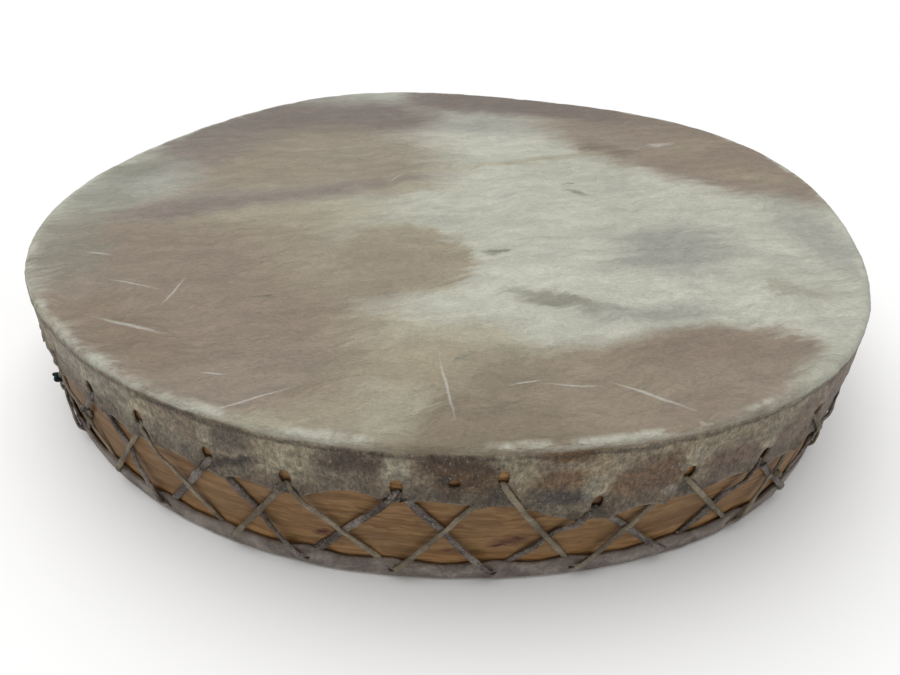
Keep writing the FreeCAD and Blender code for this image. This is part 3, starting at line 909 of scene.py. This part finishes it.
# Patches on the batter head's skirt: angle and height of the centre, half sizes in millimetres, and so on.
WALL_PATCHES = [
    ((225, 68), (26, 9), 0, 0.50, colour(178, 176, 164), 0.8),
    ((234, 60), (9, 12), 15, 0.50, colour(176, 172, 156), 0.8),
    ((229, 52), (13, 10), -10, 0.60, colour(140, 132, 118), 0.8),
    ((240, 55), (9, 9), 0, 0.40, colour(146, 140, 128), 0.8),
    ((246, 70), (9, 7), 20, 0.50, colour(112, 104, 98), 0.8),
    ((240, 76), (16, 3), 3, 0.60, colour(132, 116, 100), 0.8),
    ((246.5, 57), (14, 3.2), 22, 0.60, colour(66, 60, 58), 0.95),
    ((243, 45), (6, 2.5), 20, 0.60, colour(170, 158, 150), 0.7),
    ((253, 66), (11, 14), 0, 0.50, colour(188, 182, 160), 0.8),
    ((252, 50), (10, 6), -10, 0.60, colour(140, 122, 112), 0.8),
    ((259, 70), (14, 6), 12, 0.50, colour(98, 84, 76), 0.9),
    ((258, 57), (13, 7), 0, 0.60, colour(150, 140, 126), 0.7),
    ((263.5, 66), (4.5, 9), -8, 0.60, colour(196, 194, 178), 0.9),
    ((269.5, 68), (15, 8), -4, 0.30, colour(96, 78, 64), 0.95),
    ((270, 61), (14, 8), 4, 0.35, colour(112, 90, 70), 0.9),
    ((268.5, 62), (4, 2), -10, 0.60, colour(70, 62, 60), 0.9),
    ((268, 52), (14, 4), -14, 0.50, colour(122, 116, 108), 0.9),
    ((274, 51), (12, 3.5), -14, 0.60, colour(118, 112, 106), 0.9),
    ((276, 66), (5, 9), 18, 0.60, colour(186, 178, 156), 0.9),
    ((280.5, 76), (12, 3.5), -3, 0.60, colour(124, 92, 56), 0.9),
    ((280, 62), (14, 5), 8, 0.50, colour(142, 116, 90), 0.9),
    ((280, 52.5), (13, 4.5), -6, 0.60, colour(84, 80, 80), 0.9),
    ((283.5, 67), (5, 10), -10, 0.60, colour(180, 168, 144), 0.8),
    ((283, 56), (2.4, 6), -20, 0.70, colour(166, 166, 160), 0.7),
    ((289, 57), (17, 10), 10, 0.45, colour(134, 108, 88), 0.9),
    ((290.8, 76), (2, 4), 0, 0.60, colour(120, 92, 60), 0.8),
    ((293.5, 62), (3.5, 7), -10, 0.60, colour(188, 182, 164), 0.8),
    ((299, 56), (14, 8), -4, 0.40, colour(130, 108, 96), 0.9),
    ((292, 48), (4, 2), -20, 0.50, colour(196, 190, 182), 0.8),
    ((296, 74), (30, 5), -2, 0.60, colour(176, 166, 144), 0.8),
    ((306, 55), (9, 12), 0, 0.50, colour(134, 116, 102), 0.9),
    ((316, 55), (28, 18), 0, 0.40, colour(140, 122, 112), 0.8),
    ((303, 66), (14, 6), 0, 0.60, colour(166, 156, 140), 0.8),
]


def wall_millimetres(angle, z):
    """A place on the wall as millimetres round from the front, and up."""
    return ((angle - 270) * math.radians(HEAD_R), z)


def wall_place(paint, place):
    """The point as millimetres round the wall from the front, and up."""
    x, y, z = paint.split(place)
    turn = paint.math("ARCTAN2", x, paint.math("MULTIPLY", y, -1.0))
    return paint.join(paint.math("MULTIPLY", turn, HEAD_R), z, 0.0)


def fur(paint, place):
    """Short hairs left in the skin: fine streaks and specks, from 0 to 1."""
    along = paint.move(place, size=(2.6, 1.0, 1.0))
    hairs = paint.noise(along, 0.9, 2.0, 0.6, 0.4)
    grain = paint.noise(place, 0.55, 1.0)
    return paint.plus(paint.math("MULTIPLY", hairs, 0.6), grain, 0.4)


def face_paint(paint, flat):
    """The face's colour, its patches and scratches, and its mottling, which the bumps follow."""
    moved = paint.wandering(flat, (0.30, 0.10), (0.09, 0.06), (0.02, 0.016))
    moved = paint.combed(moved, 16, 0.12, 0.016, 0.16)
    base = paint.mix(paint.ease(paint.noise(flat, 0.35, 3.0), 0.35, 0.65), CREAM, PALE)
    clouds = paint.ease(paint.noise(paint.move(flat, size=(1.6, 0.8, 1)), 0.16, 4.0, 0.6), 0.50, 0.72)
    base = paint.cover(base, GREY_CREAM, clouds, 0.45)
    for centre, size, turn, soft, tint, share in HEAD_PATCHES:
        base = paint.patch(base, moved, centre, size, turn, soft, tint, share)
    # streaks the way the hair lay, mottling and fine grain
    streaks = paint.noise(paint.move(moved, turn=14, size=(3.5, 0.6, 1)), 0.05, 4.0, 0.65)
    base = paint.shade(base, streaks, 0.3, 0.7, 0.90, 1.07)
    mottle = paint.noise(moved, 0.035, 4.0, 0.65)
    base = paint.shade(base, mottle, 0.3, 0.7, 0.91, 1.08)
    nearly = paint.wandering(flat, (0.06, 0.012), (0.006, 0.003))
    for start, end, half_w in SCRATCHES:
        length = math.hypot(end[0] - start[0], end[1] - start[1]) / 2
        turn = math.degrees(math.atan2(end[1] - start[1], end[0] - start[0]))
        centre = ((start[0] + end[0]) / 2, (start[1] + end[1]) / 2)
        base = paint.patch(base, nearly, centre, (length, half_w), turn, 0.7, SCRATCH, 0.55)
    return base, mottle


def skirt_paint(paint, wall):
    """The skirt's colour and patches."""
    wall_moved = paint.wandering(wall, (30.0, 7.0), (9.0, 8.0), (2.4, 4.5))
    side = paint.mix(
        paint.ease(paint.noise(wall, 26.0, 3.0), 0.38, 0.62), colour(172, 162, 144), colour(148, 134, 116)
    )
    for (angle, z), size, turn, soft, tint, share in WALL_PATCHES:
        side = paint.patch(side, wall_moved, wall_millimetres(angle, z), size, turn, soft, tint, share)
    return side


def batter_hide():
    paint = Paint("batter_hide")
    place = paint.object_place()
    flat = paint.vector("SCALE", place, 1 / HEAD_R)
    base, mottle = face_paint(paint, flat)
    wall = wall_place(paint, place)
    side = skirt_paint(paint, wall)
    # painted shade in a dark band under the rim, darker towards the skirt's edge, and pale and dark marks
    # where the laces strain the skin
    rim = paint.attribute("rim", "Fac")
    uneven = paint.between(paint.noise(paint.move(wall, size=(3.0, 1.0, 1.0)), 5.0, 4.0, 0.65), -3.2, 3.2)
    from_rim = paint.math("ADD", rim, uneven)
    # painted shade: a dark band just under the rim, where the skin turns down
    under_rim_shade = paint.ease(paint.math("ABSOLUTE", paint.math("ADD", from_rim, 3.4)), 1.7, 0.2)
    side = paint.cover(side, colour(88, 78, 68), under_rim_shade, 0.62)
    hem = paint.plus(paint.attribute("hem", "Fac"), uneven, 0.7)
    side = paint.cover(side, colour(104, 94, 84), paint.ease(hem, 15.0, 1.0), 0.6)
    strain = paint.plus(paint.attribute("strain", "Fac"), uneven, 0.07)
    side = paint.cover(side, colour(198, 192, 172), paint.ease(strain, 0.2, 0.9), 0.55)
    # darker under each hole: painted shade in the dimple that the lace pulls in, with grime
    side = paint.cover(side, colour(76, 70, 68), paint.ease(strain, -0.15, -0.8), 0.6)
    side_mottle = paint.noise(wall, 7.0, 5.0, 0.72, 0.6)
    side = paint.shade(side, side_mottle, 0.30, 0.70, 0.64, 1.34)
    side_grain = paint.noise(paint.move(wall, size=(1.0, 1.8, 1.0)), 1.7, 3.0, 0.75)
    side = paint.shade(side, side_grain, 0.32, 0.68, 0.62, 1.36)
    # painted highlight: pale streaks along the face just inside the rim
    rim_highlight = paint.ease(paint.noise(paint.move(wall, size=(7.0, 1.0, 1.0)), 4.0, 4.0, 0.7), 0.44, 0.62)
    near_rim = paint.ease(paint.math("ABSOLUTE", paint.math("SUBTRACT", from_rim, 2.2)), 4.0, 0.4)
    base = paint.cover(base, PALE, paint.math("MULTIPLY", rim_highlight, near_rim), 0.75)
    on_face = paint.ease(paint.plus(rim, uneven, 0.3), -2.2, -0.6)
    base = paint.mix(on_face, paint.times(side, WALL_GAIN), paint.times(base, HEAD_GAIN))
    # white specks of skin in the darker patches
    specks = paint.ease(paint.noise(paint.move(place, size=(1.0, 1.0, 1.7)), 1.0, 3.0, 0.75), 0.57, 0.70)
    base = paint.cover(base, colour(160, 154, 142), specks, paint.between(on_face, 0.6, 0.10))
    cut = paint.math("MULTIPLY", paint.ease(hem, 0.9, 0.0), paint.ease(side_mottle, 0.42, 0.58))
    base = paint.cover(base, colour(150, 144, 128), cut, 0.6)
    hairs = fur(paint, place)
    base = paint.shade(base, hairs, 0.3, 0.7, 0.86, 1.12)
    rough_share = paint.between(paint.noise(flat, 0.06, 3.0), 0.50, 0.74)
    creases = paint.noise(paint.move(wall, size=(1.0, 1.7, 1.0)), 3.4, 4.0, 0.65, 0.8)
    on_wall = paint.math("MULTIPLY", creases, paint.between(on_face, 1.6, 0.0))
    height = paint.plus(paint.math("MULTIPLY", hairs, 0.45), mottle, 0.7)
    height = paint.math("ADD", height, on_wall)
    return paint.finish(base, rough_share, height, 1.2, 0.8, specular=0.36)


def back_hide():
    paint = Paint("back_hide")
    place = paint.object_place()
    moved = paint.wandering(place, (40.0, 12.0), (9.0, 5.0))
    shade = paint.ease(paint.noise(moved, 60.0, 4.0, 0.6), 0.36, 0.64)
    base = paint.mix(shade, colour(142, 128, 118), colour(168, 160, 146))
    pale = paint.ease(paint.noise(moved, 34.0, 4.0, 0.6), 0.52, 0.70)
    base = paint.cover(base, colour(190, 187, 172), pale, 0.7)
    z = paint.split(place)[2]
    side_shade = paint.ease(paint.noise(place, 12.0, 4.0, 0.65), 0.3, 0.7)
    side = paint.mix(side_shade, colour(126, 114, 110), colour(168, 158, 152))
    base = paint.mix(paint.ease(z, 1.2, 3.0), base, side)
    grime = paint.ease(z, 7.0, 12.0)
    base = paint.cover(base, colour(98, 82, 66), grime, 0.5)
    mottle = paint.noise(moved, 6.0, 4.0, 0.65)
    base = paint.shade(base, mottle, 0.28, 0.72, 0.76, 1.20)
    fine = paint.noise(place, 1.6, 3.0, 0.75)
    base = paint.shade(base, fine, 0.30, 0.70, 0.78, 1.20)
    hairs = fur(paint, place)
    base = paint.shade(base, hairs, 0.3, 0.7, 0.88, 1.08)
    specks = paint.spots(paint.wandering(place, (3.0, 2.0)), 2.6, 0.02, 0.18)
    base = paint.cover(base, colour(200, 196, 188), specks, 0.2)
    base = paint.times(base, BACK_GAIN)
    rough_share = paint.between(mottle, 0.52, 0.76)
    height = paint.plus(paint.math("MULTIPLY", hairs, 0.45), mottle, 0.8)
    return paint.finish(base, rough_share, height, 0.9, 0.5, specular=0.4)


# Reddish spots in the hoop's wood: angle and height, half sizes in millimetres, turn, softness, share.
WOOD_MARKS = [
    ((255.5, 24), (3.4, 1.6), 25, 0.9, 0.98),
    ((275.5, 25), (7.0, 2.4), 10, 0.9, 0.77),
    ((276.5, 27.5), (3.0, 1.0), -8, 0.9, 1.0),
    ((274, 22), (3.5, 0.8), 12, 0.9, 0.98),
    ((270, 34), (6.0, 1.0), -6, 0.9, 0.56),
    ((269, 20), (4.0, 0.9), 8, 0.9, 0.63),
    ((262, 31), (4.0, 0.8), -16, 0.9, 0.56),
]


def hoop_wood():
    paint = Paint("hoop_wood")
    place = paint.object_place()
    wall = wall_place(paint, place)
    moved = paint.wandering(wall, (60.0, 10.0), (14.0, 4.0))
    grain = paint.move(moved, size=(18.0, 1.0, 1.0))
    bands = paint.noise(grain, 3.2, 5.0, 0.66, 1.0)
    base = paint.mix(paint.ease(bands, 0.32, 0.68), colour(138, 103, 67), colour(180, 144, 102))
    fine = paint.noise(paint.move(moved, size=(14.0, 0.6, 1.0)), 0.9, 3.0, 0.6)
    base = paint.shade(base, fine, 0.3, 0.7, 0.86, 1.08)
    dark = paint.ease(paint.noise(grain, 5.0, 4.0, 0.7, 1.2), 0.60, 0.74)
    base = paint.cover(base, colour(84, 54, 30), dark, 0.5)
    swirl = paint.ease(paint.noise(paint.move(moved, size=(4.0, 1.0, 1.0)), 9.0, 3.0, 0.5, 2.0), 0.56, 0.66)
    base = paint.cover(base, colour(124, 88, 52), swirl, 0.3)
    marked = paint.wandering(moved, (3.0, 3.0))
    for (angle, z), size, turn, soft, share in WOOD_MARKS:
        base = paint.patch(base, marked, wall_millimetres(angle, z), size, turn, soft, RED_BROWN, share)
    stain = paint.ease(paint.noise(wall, 30.0, 3.0), 0.45, 0.75)
    base = paint.cover(base, colour(132, 110, 88), stain, 0.4)
    pores = paint.noise(paint.move(wall, size=(9.0, 0.45, 1.0)), 0.8, 2.0)
    base = paint.shade(base, pores, 0.30, 0.62, 0.80, 1.03)
    # painted light: the wood is made paler above 49 mm, where it shows through the lacing holes, and below
    # 19 mm, over the back skirt's edge, to lift the skins' shade there
    height = paint.split(wall)[1]
    base = paint.shade(base, height, 49.0, 54.0, 1.0, 1.6)
    base = paint.shade(base, height, 19.0, 12.5, 1.0, 1.5)
    base = paint.times(base, WOOD_GAIN)
    rough_share = paint.between(fine, 0.55, 0.75)
    relief = paint.plus(paint.math("MULTIPLY", fine, 0.5), pores, 0.5)
    return paint.finish(base, rough_share, relief, 0.5, 0.5, specular=0.35)


def lace_hide(name, light, dark, fuzz):
    """A rawhide strip: two tones along it, fibres, and grime; fuzz is how hairy it looks."""
    paint = Paint(name)
    place = paint.object_place()
    strand_at = paint.attribute("strand", "Vector")
    tone = paint.ease(paint.noise(place, 13.0, 3.0, 0.6), 0.34, 0.66)
    base = paint.mix(tone, dark, light)
    fibres = paint.noise(paint.move(strand_at, size=(0.16, 0.16, 4.0)), 1.0, 3.0, 0.6)
    base = paint.shade(base, fibres, 0.3, 0.7, 0.78, 1.14)
    grain = paint.noise(place, 1.3, 3.0, 0.75)
    base = paint.shade(base, grain, 0.32, 0.68, 1 - 0.5 * fuzz, 1 + 0.5 * fuzz)
    specks = paint.ease(paint.noise(place, 0.8, 2.0, 0.7), 0.56, 0.68)
    base = paint.cover(base, colour(176, 172, 164), specks, 0.6 * fuzz)
    base = paint.times(base, LACE_GAIN)
    rough_share = paint.between(grain, 0.55, 0.8)
    height = paint.plus(paint.math("MULTIPLY", fibres, 0.6), grain, fuzz)
    return paint.finish(base, rough_share, height, 0.5, 0.7, specular=0.4)


def cord_yarn():
    paint = Paint("cord_yarn")
    x, y, length = paint.split(paint.attribute("strand", "Vector"))
    turn = paint.math("ARCTAN2", y, x)
    twist = paint.math("SINE", paint.plus(paint.math("MULTIPLY", turn, 2.0), length, 3.2))
    # painted shade and highlight: darker in the grooves between the twisted plies, lighter on their crowns
    ply_shade = paint.between(paint.math("ADD", paint.math("MULTIPLY", twist, 0.5), 0.5), 0.35, 1.25)
    place = paint.object_place()
    fluff = paint.noise(place, 0.35, 2.0, 0.6)
    tone = paint.ease(paint.noise(place, 2.5, 2.0), 0.35, 0.65)
    base = paint.mix(tone, colour(16, 34, 38), colour(34, 66, 70))
    base = paint.times(paint.times(base, ply_shade), paint.between(fluff, 0.7, 1.3))
    height = paint.plus(twist, fluff, 0.6)
    return paint.finish(base, paint.between(fluff, 0.75, 0.95), height, 0.25, 0.8)


def pale_floor():
    paint = Paint("pale_floor")
    place = paint.object_place()
    grain = paint.noise(place, 3.0, 3.0)
    tone = paint.noise(place, 300.0, 2.0)
    base = paint.mix(tone, (0.86, 0.86, 0.86, 1), (0.88, 0.88, 0.875, 1))
    return paint.finish(base, paint.between(grain, 0.85, 0.95), grain, 0.05, 0.3)


# ---------------------------------------------------------------- making the drum

batter_skin_material = batter_hide()
back_skin_material = back_hide()
wood_material = hoop_wood()
light_hide = lace_hide("light_lace_hide", colour(150, 138, 116), colour(104, 92, 76), 0.5)
dark_hide = lace_hide("dark_lace_hide", colour(132, 122, 114), colour(70, 58, 50), 1.0)
yarn_material = cord_yarn()

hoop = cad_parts["hoop"]
hoop.data.materials.clear()
hoop.data.materials.append(wood_material)


def keep(piece, node, slot):
    """The piece stands for that CAD node."""
    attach(piece, "root")
    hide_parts(node)
    return piece


batter_skin = keep(build_batter_head(batter_skin_material), "batter_head", "batter_hide")
mark_strain(batter_skin)
back_skin = keep(build_back_head(back_skin_material), "back_head", "back_hide")

LIGHT_W, DARK_W = 1.3, 1.7       # the laces' half widths
LIGHT_T, DARK_T = 0.7, 0.75
KNOT_SIZE = (2.176, 1.904, 1.428)
KNOT_T = 0.9
light_route = lace_route(10, 1, True, -1, 0.5)
dark_route = lace_route(1, -1, False, 0, 0.25)
light_strip = build_lace("light_strip", light_route, LIGHT_W, LIGHT_T, 11, light_hide)
keep(light_strip, "light_lace", "light_lace")
dark_strip = build_lace("dark_strip", dark_route, DARK_W, DARK_T, 21, dark_hide)
keep(dark_strip, "dark_lace", "dark_lace")


def knot_centre(route, out):
    return route[0] + outward(route[:1])[0] * out


light_centre, dark_centre = knot_centre(light_route, 1.6), knot_centre(dark_route, 1.5)
light_knot = build_knot("light_strip_knot", light_centre, KNOT_SIZE, LIGHT_W, KNOT_T, 0.4, light_hide)
keep(light_knot, "light_lace_knot", "light_lace")
dark_knot = build_knot("dark_strip_knot", dark_centre, KNOT_SIZE, DARK_W * 0.8, KNOT_T, 1.3, dark_hide)
keep(dark_knot, "dark_lace_knot", "dark_lace")


CORD_R = 0.85


def build_cord_tie(material):
    """A scrap of twisted cord knotted round a crossing of the laces."""
    node_low, node_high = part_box("cord_tie")
    centre = np.array((node_low + node_high) / 2 / MM)
    centre -= outward(centre[None])[0] * 1.2
    return build_knot("cord_scrap", centre, (3.4, 4.4, 3.0), CORD_R, CORD_R, 0.9, material)


keep(build_cord_tie(yarn_material), "cord_tie", "cord")

# ---------------------------------------------------------------- floor, light and camera

bpy.ops.mesh.primitive_plane_add(size=12, location=(0, 0, 0))
floor = bpy.context.object
floor.name = "floor"
floor.data.materials.append(pale_floor())


def soft_sun(name, way, strength, angle):
    """A broad even light that shines along way; angle is how wide it looks, in degrees."""
    data = bpy.data.lights.new(name, "SUN")
    data.energy = strength
    data.angle = math.radians(angle)
    lamp = bpy.data.objects.new(name, data)
    lamp.rotation_euler = Vector(way).to_track_quat("-Z", "Y").to_euler()
    bpy.context.scene.collection.objects.link(lamp)


soft_sun("overhead", (0.18, -0.30, -1.0), 2.5, 70)
soft_sun("front_fill", (-0.25, 0.9, -0.55), 0.30, 60)

world = bpy.data.worlds.new("studio")
world.use_nodes = True
world.node_tree.nodes["Background"].inputs["Color"].default_value = (1, 1, 1, 1)
world.node_tree.nodes["Background"].inputs["Strength"].default_value = 0.38
bpy.context.scene.world = world

TARGET = Vector((-0.0781, 0.0, -0.20954)) * HEAD_R * MM
DISTANCE = 2.11769 * HEAD_R * MM
ELEVATION = 0.653         # radians, as is the roll
ROLL = 0.01878
back_way = Vector((0, -math.cos(ELEVATION), math.sin(ELEVATION)))
right_way = Vector((1, 0, 0))
up_way = right_way.cross(-back_way)
camera_x = right_way * math.cos(ROLL) + up_way * math.sin(ROLL)
camera_y = up_way * math.cos(ROLL) - right_way * math.sin(ROLL)

camera_data = bpy.data.cameras.new("camera")
camera_data.lens = 26.1
camera_data.sensor_width = 36
camera_data.shift_x = 0.0366
camera_data.shift_y = 0.0218
camera_data.clip_start = 0.01
camera = bpy.data.objects.new("camera", camera_data)
bpy.context.scene.collection.objects.link(camera)
facing = Matrix((camera_x, camera_y, back_way)).transposed().to_4x4()
camera.matrix_world = Matrix.Translation(TARGET + back_way * DISTANCE) @ facing
bpy.context.scene.camera = camera
bpy.context.scene.view_settings.view_transform = "Standard"
